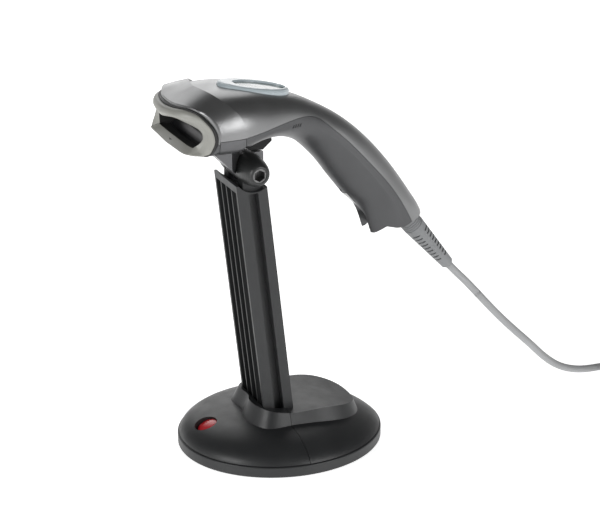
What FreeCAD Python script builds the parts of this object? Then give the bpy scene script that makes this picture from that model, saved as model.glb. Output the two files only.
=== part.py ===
import FreeCAD, Part
import math
import os
from functools import lru_cache

# Handheld barcode scanner resting in its tilting desk stand. Millimetres.
# Row frame: +Z up, the scanner's nose points along -Y, its left side is +X, and the
# origin lies on the table at the centre of the stand's oval base.

V = FreeCAD.Vector
X_AXIS = V(1, 0, 0)
Y_AXIS = V(0, 1, 0)
Z_AXIS = V(0, 0, 1)

# ---------------------------------------------------------------- driving dimensions
FIT = 0.05                     # running fit on pins and pressed seats
GAP = 0.3                      # clearance between parts that move past each other
FAR = 400.0                    # reach of cutting tools

# stand base
BASE_RX = 60.0
BASE_RY = 66.0
SKIRT_TOP = 7.5
SEAM_Y = -4.0
SEAM_GAP = 0.3
COVER_WALL = 2.4
PAD_TOP = 1.6
PLATE_BOTTOM = 0.4
PLATE_FLOOR = 3.2
WEIGHT_TOP = 8.2
DOME_SHIFT = 0.3               # the dome leans forward by this share of its rise
PLATEAU_PLAN = [               # left half of the raised ground under the post, front to rear
    (0.0, -22.5), (19.0, -22.0), (25.0, -17.0), (26.5, -4.0), (27.0, 18.0), (24.0, 33.0),
    (14.0, 43.0), (0.0, 45.5),
]
PLATEAU_HALF_WIDTH = 27.0
PLATEAU_HALF_LENGTH = 34.0
PLATEAU_MIDDLE = 11.5
PLATEAU_CROWN = [              # its height from front to rear, as (y, z)
    (-60.0, 31.5), (-22.0, 31.3), (-13.0, 29.6), (-3.0, 27.7), (8.0, 27.5), (20.0, 27.6),
    (33.0, 26.2), (46.0, 23.0), (60.0, 18.0),
]
BADGE_RADIUS = 7.2
BADGE_CENTRE = V(0.0, -49.2, 15.2)
BADGE_NORMAL = V(0.0, -0.42, 0.9)
BADGE_SUNK = 0.9
BADGE_THICKNESS = 1.5
SCREW_SPOTS = [(x, y) for x in (-36.0, 36.0) for y in (-30.0, 30.0)]
SCREW_HEAD_TOP = 2.4

# stand post, which leans forward
POST_HALF_WIDTH = 18.7
POST_DEPTH = 19.6
POST_LEAN = -0.1125            # change of Y per millimetre of height
POST_FRONT_AT_ZERO = -14.95
POST_FOOT = PLATE_FLOOR
POST_TOP = 178.0
SLOT_COUNT = 4
SLOT_DEPTH = 9.0
RIB_WIDTH = 1.2
RIM_WIDTH = 2.0
CROSSBAR_BOTTOM = 173.5
CHANNEL_START = 7.2
CHANNEL_END = 13.4
CHANNEL_DEPTH = 6.0
CHANNEL_TOP = 172.5

# tilt joint
PIVOT_Y = -23.2
PIVOT_Z = 185.8
LUG_HALF = 7.2
WASHER_THICKNESS = 0.6
EAR_INNER = 8.2
EAR_OUTER = 15.5
EAR_RADIUS = 7.6
DOME_RADIUS = 9.4
DOME_TIP = 27.6
DOME_TIP_RADIUS = 5.0
BOLT_RADIUS = 3.0
BOLT_HEAD_RADIUS = 4.3
HEX_FLATS = 6.4

# cradle
CUP_FRONT = -51.6
CUP_REAR = -35.2
CUP_TOP = 212.6
CUP_WALL = 1.8
CUP_FLOOR = 203.0
TONGUE_TOP = 194.4             # the tongue that reaches back under the trigger
NECK_REAR = -26.8
NECK_TOP = 201.3
NECK_HALF_WIDTH = 18.0
NECK_TAPER_FRONT = -38.0        # the neck narrows behind this

# scanner body
WALL = 2.0
SEAM = 0.24                    # open joint between the two shells
GASKET_THICKNESS = 2.2
LIP_HEIGHT = 224.6             # where the bezel's upper lip starts to round over
LIP_LEAN = 0.67
JAW_HEIGHT = 205.0
JAW_FRONT = -71.0
PORT_LOW = 208.8
PORT_HIGH = 221.8
PORT_HALF = 30.0
WINDOW_Y = -60.5
SHELL_SCREW_SPOTS = [(41.4, 162.4), (53.4, 148.9)]
SHELL_SCREW_LENGTH = 16.0
SCREW_INWARD = V(0, 0.722, 0.692)
BOSS_LENGTH = 9.0

NOTCH_HALF = 6.5               # U notch between the hook's prongs
NOTCH_TOP = 147.0
NOTCH_REAR = 67.0
NOTCH_TILT = -12.0

# light ring on top of the head
RING_RX = 15.0
RING_RY = 22.8
RING_BOTTOM = -2.6
RING_CENTRE = V(0, -16.3, 232.6)
RING_TILT = -10.0

# trigger
TRIGGER_HALF = 6.6
TRIGGER_FRONT = -24.4
TRIGGER_REAR = -7.0
TRIGGER_TOP = 207.6
TRIGGER_PIN_Y = -17.4
TRIGGER_PIN_Z = 208.4
PIN_RADIUS = 1.0
EAR_NEAR = TRIGGER_HALF + 0.6  # ears that hold the trigger's pin
EAR_FAR = TRIGGER_HALF + 3.4
SWITCH_BOARD_BOTTOM = 213.2

# laser and scan mirror
LASER_X = 9.5
LASER_Z = 213.0
LASER_FLANGE_RADIUS = 4.2
MIRROR_X = -5.0
MIRROR_Y = -40.0
MIRROR_PIN_RADIUS = 0.8

# cable
BOOT_ROOT = V(0, 84.6, 140.2)
BOOT_TIP = V(0, 118.4, 100.7)
BOOT_ROOT_RADIUS = 7.0
BOOT_TIP_RADIUS = 4.15
BOOT_ROWS = 9
BOOT_PITCH = 3.1
CORD_RADIUS = 2.5
COIL_X = 30.0
COIL_Y = 278.0
COIL_RING = 27.5               # radius at the middle of the coil's turns
COIL_HALF_WIDTH = 12.5         # five turns side by side
COIL_HEIGHT = 10.0             # two layers

# routes of the cable's three stretches, point by point
CORD_UPPER = [
    (0.0, 118.4, 100.7), (0.0, 125.6, 92.9), (0.1, 133.2, 85.3), (0.2, 140.2, 77.4),
]
CORD_LOWER = [
    (0.2, 140.2, 77.4), (0.33, 149.3, 67.13), (0.2, 160.0, 55.6), (-0.3, 171.6, 44.2),
    (-1.2, 184.0, 32.6), (-2.6, 196.4, 20.0), (-4.4, 210.6, 9.4), (-5.8, 227.4, 3.6),
    (-6.8, 245.6, 2.5), (-7.4, 262.0, 2.5), (-7.5, 278.0, 2.5),
]
CORD_TAIL = [
    (-7.5, 278.0, 7.5), (-7.5, 288.0, 7.4), (-8.4, 299.0, 5.6), (-10.6, 310.0, 4.0),
    (-10.6, 320.0, 4.0),
]

# The scanner's body as stations from nose to handle end: the outline's top and bottom
# points in the plane of symmetry, the half width, how far up the widest line lies, and
# the squareness of the upper and lower halves.
STATIONS = [
    # top y, top z, bottom y, bottom z, half width, widest, upper, lower
    (-84.0, 226.0, -84.0, 203.0, 37.0, 0.42, 4.0, 6.0),
    (-72.0, 230.4, -72.0, 202.2, 37.6, 0.39, 4.0, 6.0),
    (-60.0, 233.6, -60.0, 201.8, 37.8, 0.36, 4.0, 6.0),
    (-48.0, 235.4, -48.0, 201.8, 37.8, 0.34, 4.0, 6.0),
    (-36.0, 235.9, -36.0, 202.0, 36.8, 0.34, 3.8, 5.4),
    (-24.0, 234.7, -25.0, 205.0, 33.8, 0.30, 3.5, 4.6),
    (-12.0, 232.2, -15.0, 205.4, 29.6, 0.34, 3.2, 4.0),
    (0.5, 228.8, -5.5, 203.8, 25.0, 0.41, 2.9, 3.4),
    (12.0, 224.8, 3.0, 200.9, 21.2, 0.48, 2.6, 2.9),
    (24.0, 219.0, 10.5, 196.8, 18.6, 0.50, 2.4, 2.5),
    (36.0, 212.0, 17.6, 190.3, 17.3, 0.52, 2.3, 2.3),
    (47.5, 203.4, 24.4, 182.8, 16.9, 0.53, 2.3, 2.3),
    (58.5, 193.1, 31.0, 173.9, 16.7, 0.54, 2.3, 2.3),
    (69.0, 181.3, 37.8, 165.0, 16.6, 0.55, 2.3, 2.3),
    (78.5, 168.9, 44.6, 157.2, 16.5, 0.55, 2.3, 2.4),
    (86.4, 157.4, 50.8, 150.9, 16.3, 0.54, 2.3, 2.6),
    (92.0, 149.0, 55.2, 142.4, 15.6, 0.52, 2.4, 2.9),
    (96.0, 141.8, 58.2, 132.6, 14.0, 0.50, 2.4, 3.0),
    (98.0, 136.0, 59.6, 126.0, 12.6, 0.50, 2.4, 3.0),
]

# underside of the housing behind the cradle's cup, recessed so the cup stands proud of it
RECESS = [
    (-46.0, 237.5, -46.0, 204.2, 39.0, 0.28, 4.0, 5.6),
    (-36.0, 237.9, -36.0, 204.5, 38.0, 0.28, 3.8, 5.0),
    (-14.0, 236.7, -16.0, 203.4, 36.0, 0.30, 3.8, 5.0),
]
RECESS_REAR = -18.0
THICK_REAR = -22.0

# parting line between the upper and lower shells, seen from the side
PARTING = [
    (-95.0, 212.8), (-34.0, 213.0), (-18.0, 214.8), (-3.0, 216.4), (7.0, 216.8),
    (17.0, 214.8), (26.6, 208.0), (39.9, 196.2), (53.5, 181.8), (67.4, 166.0),
    (78.1, 150.5), (86.0, 137.0), (96.0, 118.0),
]

# front edge of the housing in plan, as (x, y) for the left half
NOSE_PLAN = [
    (0.0, -71.0), (9.0, -70.4), (17.0, -68.0), (24.0, -64.2), (30.0, -59.0),
    (34.0, -55.4), (36.6, -52.8), (41.0, -50.6),
]

# front lip of the nose bezel in plan, left half
LIP_PLAN = [
    (0.0, -76.0), (8.0, -75.8), (16.0, -73.8), (23.0, -71.0), (28.0, -67.0),
    (31.0, -61.6), (34.0, -56.6), (40.0, -53.0),
]


# ---------------------------------------------------------------- general shapes
def box(x0, x1, y0, y1, z0, z1):
    return Part.makeBox(x1 - x0, y1 - y0, z1 - z0, V(x0, y0, z0))


def cylinder_x(radius, x0, x1, y=PIVOT_Y, z=PIVOT_Z):
    return Part.makeCylinder(radius, x1 - x0, V(x0, y, z), X_AXIS)


def cylinder_z(radius, z0, z1, x, y):
    return Part.makeCylinder(radius, z1 - z0, V(x, y, z0), Z_AXIS)


def rod(start, end, radius):
    return Part.makeCylinder(radius, start.distanceToPoint(end), start, end - start)


def oval(rx, ry, z0, z1):
    """Upright oval prism, longer along Y."""
    ellipse = Part.Ellipse(V(0, ry, z0), V(rx, 0, z0), V(0, 0, z0))
    return Part.Face(Part.Wire(ellipse.toShape())).extrude(V(0, 0, z1 - z0))


def profile_x(points, x0, x1):
    """Polygon of (y, z) points, extruded along X."""
    corners = [V(x0, y, z) for y, z in points]
    return Part.Face(Part.makePolygon(corners + corners[:1])).extrude(V(x1 - x0, 0, 0))


def revolve_x(profile):
    """Turn a closed polygon of (x, radius) points about the tilt axis."""
    corners = [V(x, PIVOT_Y, PIVOT_Z + r) for x, r in profile]
    face = Part.Face(Part.makePolygon(corners + corners[:1]))
    return face.revolve(V(0, PIVOT_Y, PIVOT_Z), X_AXIS, 360)


def hex_prism(flats, start, direction, length):
    """Hexagonal prism of the given width across flats."""
    radius = flats / math.sqrt(3)
    ring = [V(radius * math.cos(math.radians(60 * k)), radius * math.sin(math.radians(60 * k)), 0)
            for k in range(6)]
    prism = Part.Face(Part.makePolygon(ring + ring[:1])).extrude(V(0, 0, length))
    prism.Placement = FreeCAD.Placement(start, FreeCAD.Rotation(Z_AXIS, direction))
    return prism


def fused(shapes):
    whole = shapes[0].multiFuse(shapes[1:]) if len(shapes) > 1 else shapes[0]
    return whole.removeSplitter()


def mirrored(shape):
    return shape.mirror(V(0, 0, 0), X_AXIS)


def group(solids):
    """Identical fasteners and the like, kept as separate solids in one node."""
    return Part.makeCompound(solids)


def largest_solid(shape):
    return max(shape.Solids, key=lambda solid: solid.Volume)


# ---------------------------------------------------------------- scanner body surfaces
def section_wire(station, inset):
    """One closed cross-section of the scanner's body, drawn inset from its surface."""
    top_y, top_z, bottom_y, bottom_z, half_width, widest, upper, lower = station
    top = V(0, top_y, top_z)
    bottom = V(0, bottom_y, bottom_z)
    up = (top - bottom).normalize()
    middle = bottom + (top - bottom) * widest
    rise = (top - middle).Length - inset
    drop = (middle - bottom).Length - inset
    width = half_width - inset
    points = []
    count = 32
    for k in range(count):
        angle = 2 * math.pi * k / count
        across = math.cos(angle)
        along = math.sin(angle)
        power = upper if along >= 0 else lower
        height = rise if along >= 0 else drop
        x = width * math.copysign(abs(across) ** (2 / power), across)
        h = height * math.copysign(abs(along) ** (4 / power if along < 0 else 1.0), along)
        points.append(V(x, middle.y + up.y * h, middle.z + up.z * h))
    curve = Part.BSplineCurve()
    curve.interpolate(points, True)
    return Part.Wire(curve.toShape())


@lru_cache(maxsize=None)
def body_loft(inset, first=0, last=len(STATIONS)):
    wires = [section_wire(station, inset) for station in STATIONS[first:last]]
    return Part.makeLoft(wires, True, False, False)


def recess_loft():
    wires = [section_wire(station, 0.0) for station in RECESS]
    return Part.makeLoft(wires, True, True, False)


def plan_prism(plan, offset, z0, z1, lean=0.0):
    """Everything behind a plan curve shifted forward by offset, leaning back with height."""
    left = [V(x, y - offset, z0) for x, y in plan]
    right = [V(-x, y - offset, z0) for x, y in reversed(plan[1:])]
    curve = Part.BSplineCurve()
    curve.interpolate(right + left)
    start = right[0]
    end = left[-1]
    edges = [
        curve.toShape(),
        Part.LineSegment(end, V(end.x, FAR, z0)).toShape(),
        Part.LineSegment(V(end.x, FAR, z0), V(start.x, FAR, z0)).toShape(),
        Part.LineSegment(V(start.x, FAR, z0), start).toShape(),
    ]
    return Part.Face(Part.Wire(edges)).extrude(V(0, lean * (z1 - z0), z1 - z0))


def parting_tool(shift=0.0):
    """Everything above the parting line, moved up by shift."""
    curve = Part.BSplineCurve()
    curve.interpolate([V(-60, y, z + shift) for y, z in PARTING])
    first = V(-60, PARTING[0][0], PARTING[0][1] + shift)
    last = V(-60, PARTING[-1][0], PARTING[-1][1] + shift)
    high = V(-60, FAR, FAR)
    corner = V(-60, first.y, FAR)
    low = V(-60, FAR, last.z)
    loop = [curve.toShape()]
    for a, b in ((last, low), (low, high), (high, corner), (corner, first)):
        loop.append(Part.LineSegment(a, b).toShape())
    return Part.Face(Part.Wire(loop)).extrude(V(120, 0, 0))


def end_cut():
    """Everything beyond the flat end of the handle."""
    outline = [(56.0, 132.0), (61.6, 132.4), (68.0, 137.0), (74.4, 135.4), (80.0, 135.2), (84.6, 137.4),
               (90.0, 139.0), (94.2, 140.8), (96.2, 146.5), (97.0, 152.0), (130.0, 152.0),
               (130.0, 100.0), (40.0, 100.0), (48.0, 132.0)]
    return profile_x(outline, -60, 60)


# ---------------------------------------------------------------- stand
def dome(scale_down):
    """The oval dome of the base as a stack of ovals."""
    rings = [(0.985, 7.8), (0.957, 10.2), (0.895, 13.4), (0.79, 16.8), (0.65, 19.3),
             (0.45, 20.8), (0.22, 21.4)]
    wires = []
    for share, z in rings:
        y = -DOME_SHIFT * (z - rings[0][1])
        ry = BASE_RY * share - scale_down
        rx = BASE_RX * share - scale_down
        wires.append(Part.Wire(Part.Ellipse(V(0, y + ry, z), V(rx, y, z), V(0, y, z)).toShape()))
    body = Part.makeLoft(wires, True, False, False)
    body.translate(V(0, 0, -scale_down))
    return body


def plateau_wire(spread, z):
    """The plateau's outline, pushed outwards by spread, at height z."""
    wider = 1 + spread / PLATEAU_HALF_WIDTH
    longer = 1 + spread / PLATEAU_HALF_LENGTH
    left = [V(x * wider, PLATEAU_MIDDLE + (y - PLATEAU_MIDDLE) * longer, z) for x, y in PLATEAU_PLAN]
    right = [V(-p.x, p.y, z) for p in reversed(left[1:-1])]
    curve = Part.BSplineCurve()
    curve.interpolate(left + right, PeriodicFlag=True)
    return Part.Wire(curve.toShape())


def plateau():
    """Raised ground under the post: bevelled sides, highest in front, falling away to the rear."""
    body = Part.makeLoft([plateau_wire(6.5, 12.0), plateau_wire(-2.5, 34.0)], True, True, False)
    crown = [V(-60, y, z) for y, z in PLATEAU_CROWN]
    curve = Part.BSplineCurve()
    curve.interpolate(crown)
    high = [V(-60, 60, 60), V(-60, -60, 60)]
    loop = [curve.toShape(), Part.LineSegment(crown[-1], high[0]).toShape(),
            Part.LineSegment(high[0], high[1]).toShape(), Part.LineSegment(high[1], crown[0]).toShape()]
    slope = Part.Face(Part.Wire(loop)).extrude(V(120, 0, 0))
    return body.cut(slope)


def post_block(x0, x1, d0, d1, z0, z1):
    """A block that leans with the post; d is the depth behind the post's front face."""
    y0 = POST_FRONT_AT_ZERO + POST_LEAN * z0
    corners = [V(x0, y0 + d0, z0), V(x1, y0 + d0, z0), V(x1, y0 + d1, z0), V(x0, y0 + d1, z0)]
    face = Part.Face(Part.makePolygon(corners + corners[:1]))
    return face.extrude(V(0, POST_LEAN * (z1 - z0), z1 - z0))


def base_pad():
    return oval(BASE_RX - 3.5, BASE_RY - 3.5, 0, PAD_TOP)


def base_plate():
    plate = oval(BASE_RX, BASE_RY, PLATE_BOTTOM, SKIRT_TOP)
    plate = plate.makeFillet(0.9, [edge for edge in plate.Edges if len(edge.Vertexes) == 1])
    plate = plate.cut(oval(BASE_RX - 3.4, BASE_RY - 3.4, PLATE_BOTTOM, PAD_TOP + FIT))
    plate = plate.cut(oval(BASE_RX - 3.0, BASE_RY - 3.0, PLATE_FLOOR, SKIRT_TOP + 1))
    for x, y in SCREW_SPOTS:
        plate = plate.cut(cylinder_z(1.6, 0, 6, x, y)).cut(cylinder_z(3.0, 0, SCREW_HEAD_TOP, x, y))
    return plate


def base_weight():
    weight = oval(BASE_RX - 7.5, BASE_RY - 7.5, PLATE_FLOOR, WEIGHT_TOP)
    weight = weight.cut(post_block(-21, 21, -3.0, POST_DEPTH + 3.0, 0, 12))
    for x, y in SCREW_SPOTS:
        weight = weight.cut(cylinder_z(4.6, 0, 12, x, y))
    return weight


def base_covers():
    outer = fused([dome(0.0), plateau()])
    lip = oval(BASE_RX - 3.3, BASE_RY - 3.3, 5.0, 9.0).cut(oval(BASE_RX - 5.4, BASE_RY - 5.4, 4, 10))
    shell = outer.cut(dome(COVER_WALL).common(oval(BASE_RX - 6, BASE_RY - 6, 0, 60)))
    shell = shell.cut(oval(BASE_RX - 5.4, BASE_RY - 5.4, 7.0, 9.4))
    shell = fused([shell, lip])
    shell = shell.cut(post_block(-POST_HALF_WIDTH - FIT, POST_HALF_WIDTH + FIT,
                                 -FIT, POST_DEPTH + FIT, 0, 60))
    for x, y in SCREW_SPOTS:
        pillar = cylinder_z(3.6, PLATE_FLOOR, 18, x, y).cut(cylinder_z(1.5 + FIT, 0, 12, x, y))
        shell = fused([shell, pillar.common(outer)])
    shell = shell.cut(badge_disc(BADGE_RADIUS + FIT, -BADGE_SUNK, 5.0))
    ahead = shell.common(box(-FAR, FAR, -FAR, SEAM_Y - SEAM_GAP / 2, -10, 100))
    behind = shell.common(box(-FAR, FAR, SEAM_Y + SEAM_GAP / 2, FAR, -10, 100))
    return largest_solid(ahead), largest_solid(behind)


def badge_disc(radius, low, high):
    """A disc square to the dome's front slope, from low to high about its surface there."""
    normal = V(BADGE_NORMAL).normalize()
    return Part.makeCylinder(radius, high - low, BADGE_CENTRE + normal * low, normal)


def badge():
    return badge_disc(BADGE_RADIUS, -BADGE_SUNK, -BADGE_SUNK + BADGE_THICKNESS)


def base_screws():
    screws = []
    for x, y in SCREW_SPOTS:
        shank = cylinder_z(1.5, 2.0, 11.0, x, y)
        head = cylinder_z(2.8, PAD_TOP + 0.1, SCREW_HEAD_TOP, x, y)
        screws.append(fused([shank, head]))
    return group(screws)


def post():
    body = post_block(-POST_HALF_WIDTH, POST_HALF_WIDTH, 0, POST_DEPTH, POST_FOOT, POST_TOP)
    slot = (2 * POST_HALF_WIDTH - 2 * RIM_WIDTH - (SLOT_COUNT - 1) * RIB_WIDTH) / SLOT_COUNT
    for k in range(SLOT_COUNT):
        x0 = -POST_HALF_WIDTH + RIM_WIDTH + k * (slot + RIB_WIDTH)
        body = body.cut(post_block(x0, x0 + slot, -1, SLOT_DEPTH, 8, CROSSBAR_BOTTOM))
    inner = POST_HALF_WIDTH - CHANNEL_DEPTH
    for x0, x1 in ((-30, -inner), (inner, 30)):
        body = body.cut(post_block(x0, x1, CHANNEL_START, CHANNEL_END, 8, CHANNEL_TOP))
    body = body.cut(cylinder_x(12.8, -30, 30))
    ears = []
    for sign in (-1, 1):
        x0, x1 = sorted((sign * EAR_INNER, sign * EAR_OUTER))
        web = profile_x([(PIVOT_Y - 6.4, PIVOT_Z - 3), (PIVOT_Y + 6.4, PIVOT_Z - 3),
                         (PIVOT_Y + 6.4, 171), (PIVOT_Y - 6.4, 171)], x0, x1)
        ears.extend([cylinder_x(EAR_RADIUS, x0, x1), web])
    body = fused([body] + ears)
    return body.cut(cylinder_x(BOLT_RADIUS + FIT, -30, 30))


def pivot_cover():
    """Domed cover over one ear of the post, with a round mouth for the bolt head."""
    start = EAR_INNER
    steps = 10
    outer = [(start, DOME_RADIUS), (start + 1.6, DOME_RADIUS)]
    for k in range(1, steps + 1):
        angle = math.radians(90 * k / steps)
        x = start + 1.6 + (DOME_TIP - start - 1.6) * math.sin(angle) ** 1.15
        radius = DOME_TIP_RADIUS + (DOME_RADIUS - DOME_TIP_RADIUS) * math.cos(angle)
        outer.append((x, radius))
    inner = [(DOME_TIP, BOLT_HEAD_RADIUS + FIT), (EAR_OUTER + FIT, BOLT_HEAD_RADIUS + FIT),
             (EAR_OUTER + FIT, EAR_RADIUS + FIT), (start, EAR_RADIUS + FIT)]
    shell = revolve_x(outer + inner)
    web_room = box(start - 1, EAR_OUTER + FIT, PIVOT_Y - 6.5, PIVOT_Y + 6.5, 150, PIVOT_Z - 3)
    post_room = post_block(-30, POST_HALF_WIDTH + 0.1, -1, POST_DEPTH + 1, 150, POST_TOP)
    pocket = cylinder_x(12.8, 0, 30)
    return shell.cut(web_room).cut(post_room.cut(pocket))


def friction_washers():
    rings = []
    for sign in (-1, 1):
        x0, x1 = sorted((sign * (EAR_INNER - 0.1), sign * (EAR_INNER - 0.1 - WASHER_THICKNESS)))
        rings.append(cylinder_x(6.8, x0, x1).cut(cylinder_x(BOLT_RADIUS + FIT, -30, 30)))
    return group(rings)


def pivot_bolt():
    head = cylinder_x(BOLT_HEAD_RADIUS, EAR_OUTER + FIT + 0.1, DOME_TIP - 0.6)
    shank = cylinder_x(BOLT_RADIUS, -24.0, EAR_OUTER + 1)
    socket = hex_prism(HEX_FLATS, V(DOME_TIP - 7.0, PIVOT_Y, PIVOT_Z), X_AXIS, 10)
    return fused([head, shank]).cut(socket)


def pivot_nut():
    nut = hex_prism(7.2, V(-21.6, PIVOT_Y, PIVOT_Z), X_AXIS, 4.6)
    return nut.cut(cylinder_x(BOLT_RADIUS + 0.01, -30, 0))


# ---------------------------------------------------------------- cradle
def cup_zone(y0, y1, z1):
    return box(-50, 50, y0, y1, 150, z1)


def neck_taper(sign):
    """What the plan view of the neck loses where it narrows towards the trigger."""
    corners = [V(sign * (NECK_HALF_WIDTH + 1), NECK_TAPER_FRONT, 150), V(sign * LUG_HALF, NECK_REAR - 1, 150),
               V(sign * LUG_HALF, NECK_REAR + 1, 150), V(sign * (NECK_HALF_WIDTH + 1), NECK_REAR + 1, 150)]
    return Part.Face(Part.makePolygon(corners + corners[:1])).extrude(V(0, 0, 100))


def cradle():
    band = body_loft(0.0, 1, 7).common(cup_zone(CUP_FRONT, CUP_REAR, CUP_TOP))
    band = band.cut(body_loft(CUP_WALL, 1, 7))
    neck = profile_x([(-50.6, CUP_FLOOR), (-50.6, 201.4), (-46.0, 197.0), (-35.6, 186.6),
                      (-34.2, 185.2), (-33.0, 184.6), (NECK_REAR, 188.0),
                      (NECK_REAR, NECK_TOP), (CUP_REAR - 0.6, NECK_TOP), (CUP_REAR - 0.6, CUP_FLOOR)],
                     -NECK_HALF_WIDTH, NECK_HALF_WIDTH)
    for sign in (-1, 1):
        neck = neck.cut(neck_taper(sign))
    lug = cylinder_x(9.2, -LUG_HALF, LUG_HALF)
    saddle = profile_x([(-31.0, 187.0), (-12.8, 186.6), (-12.8, TONGUE_TOP), (NECK_REAR, TONGUE_TOP),
                        (NECK_REAR, 198.0), (-31.0, 198.0)], -LUG_HALF, LUG_HALF)
    body = fused([band, neck, lug, saddle])
    for sign in (-1, 1):
        x0, x1 = sorted((sign * LUG_HALF, sign * 30))
        body = body.cut(cylinder_x(DOME_RADIUS + GAP, x0, x1))
    return largest_solid(body.cut(cylinder_x(BOLT_RADIUS + FIT, -30, 30)))


# ---------------------------------------------------------------- scanner housing
def shells():
    """The upper and lower shells: one hollow body, split along the parting line."""
    outer = body_loft(0.0)
    behind_nose = plan_prism(NOSE_PLAN, 0.0, 190, 245).fuse(box(-60, 60, -5, 200, 90, 260))
    outer = outer.common(behind_nose).cut(under_jaw()).cut(end_cut()).cut(hook_notch())
    seat = cup_zone(CUP_FRONT - GAP, CUP_REAR + GAP, CUP_TOP + GAP)
    seat = seat.cut(body_loft(CUP_WALL + GAP, 0, 8))
    outer = outer.cut(seat)
    behind_cup = box(-50, 50, CUP_REAR, RECESS_REAR, 190, 212)
    outer = outer.cut(behind_cup.cut(recess_loft()))
    cavity = body_loft(WALL, 0, len(STATIONS) - 3)
    thick = cup_zone(CUP_FRONT - 2, THICK_REAR, CUP_TOP + 2).cut(body_loft(CUP_WALL + GAP + WALL, 0, 8))
    hollow = outer.cut(cavity.cut(thick))
    hollow = hollow.cut(ring_seat(0.1))
    hollow = hollow.cut(rod(BOOT_ROOT, BOOT_TIP, BOOT_ROOT_RADIUS + FIT))
    upper = hollow.common(parting_tool(SEAM / 2))
    lower = hollow.cut(parting_tool(-SEAM / 2))
    lower = lower.cut(box(-TRIGGER_HALF - GAP, TRIGGER_HALF + GAP, TRIGGER_FRONT - 0.6,
                          TRIGGER_REAR + 1.0, 190, 209))
    lower = lower.cut(vent_room())
    for boss in trigger_bosses() + screw_bosses(0.5, BOSS_LENGTH, 3.6):
        lower = lower.fuse(boss)
    for boss in screw_bosses(BOSS_LENGTH + GAP, 60, 3.2):
        upper = upper.fuse(boss)
    lower = lower.cut(cylinder_x(PIN_RADIUS, -20, 20, TRIGGER_PIN_Y, TRIGGER_PIN_Z))
    for hole in screw_holes():
        lower = lower.cut(hole)
        upper = upper.cut(hole)
    return largest_solid(upper), largest_solid(lower)


def screw_rod(spot, start, end, radius):
    """A cylinder along one of the shell screws, between two depths."""
    origin = V(0, spot[0], spot[1])
    return rod(origin + SCREW_INWARD * start, origin + SCREW_INWARD * end, radius)


def screw_bosses(start, end, radius):
    """Pillars inside the shells that the screws pass through."""
    inside = body_loft(1.0, 8)
    return [screw_rod(spot, start, end, radius).common(inside) for spot in SHELL_SCREW_SPOTS]


def screw_holes():
    """Room for the screws: a recess for each head and a bore for each shank."""
    holes = []
    for spot in SHELL_SCREW_SPOTS:
        recess = screw_rod(spot, -8, 1.8, 2.4 + FIT)
        holes.append(recess.fuse(screw_rod(spot, 0, SHELL_SCREW_LENGTH + 0.5, 1.2 + FIT)))
    return holes


def trigger_bosses():
    """Two ears inside the lower shell that hold the trigger's pin."""
    ears = []
    for x0, x1 in ((-EAR_FAR, -EAR_NEAR), (EAR_NEAR, EAR_FAR)):
        ears.append(box(x0, x1, TRIGGER_PIN_Y - 2.4, TRIGGER_PIN_Y + 2.4, 206.4, TRIGGER_PIN_Z + 2.4))
    return ears


def hook_notch():
    """The U notch that splits the hook under the handle's end into two prongs."""
    crown = Part.makeCylinder(NOTCH_HALF, NOTCH_REAR - 40, V(0, 40, NOTCH_TOP - NOTCH_HALF), Y_AXIS)
    slot = box(-NOTCH_HALF, NOTCH_HALF, 40, NOTCH_REAR, 120, NOTCH_TOP - NOTCH_HALF)
    notch = crown.fuse(slot)
    notch.rotate(V(0, NOTCH_REAR, NOTCH_TOP), X_AXIS, NOTCH_TILT)
    return notch


def on_top(shape):
    """Lift a shape drawn about the origin to the light ring's place on the head."""
    placed = shape.copy()
    lift = FreeCAD.Placement(RING_CENTRE, FreeCAD.Rotation(X_AXIS, RING_TILT))
    placed.Placement = lift.multiply(placed.Placement)
    return placed


def ring_seat(clearance):
    """The oval hole in the top shell that takes the light ring."""
    return on_top(oval(RING_RX + clearance, RING_RY + clearance, RING_BOTTOM, 12.0))


def light_ring():
    """Translucent oval ring, broad in front and narrow behind, round on top."""
    layers = []
    for inset, z in ((0.0, RING_BOTTOM), (0.0, 0.6), (0.7, 1.6), (2.0, 2.1)):
        rx = RING_RX - inset
        ry = RING_RY - inset
        layers.append(Part.Wire(Part.Ellipse(V(0, ry, z), V(rx, 0, z), V(0, 0, z)).toShape()))
    body = Part.makeLoft(layers, True, True, False)
    return on_top(body.cut(ring_hole(0.0, RING_BOTTOM - 1, 10)))


def ring_hole(inset, z0, z1):
    hole = oval(RING_RX - 4.6 - inset, RING_RY - 6.0 - inset, z0, z1)
    hole.translate(V(0, 3.4, 0))
    return hole


def ring_lens():
    return on_top(ring_hole(FIT, RING_BOTTOM, 0.9))


def under_jaw():
    """The room under the nose: the jaw's straight lower edge, and the underside sloping back from it."""
    return profile_x([(-90, 150), (-90, JAW_HEIGHT), (JAW_FRONT, JAW_HEIGHT), (-52, 201.0), (-52, 150)],
                     -50, 50)


def nose_gasket():
    ring = body_loft(0.3, 0, 6).cut(body_loft(3.2, 0, 6))
    ahead = plan_prism(NOSE_PLAN, GASKET_THICKNESS, 190, 245)
    ring = ring.common(ahead).cut(plan_prism(NOSE_PLAN, 0.0, 190, 245)).cut(under_jaw())
    return largest_solid(ring)


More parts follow.
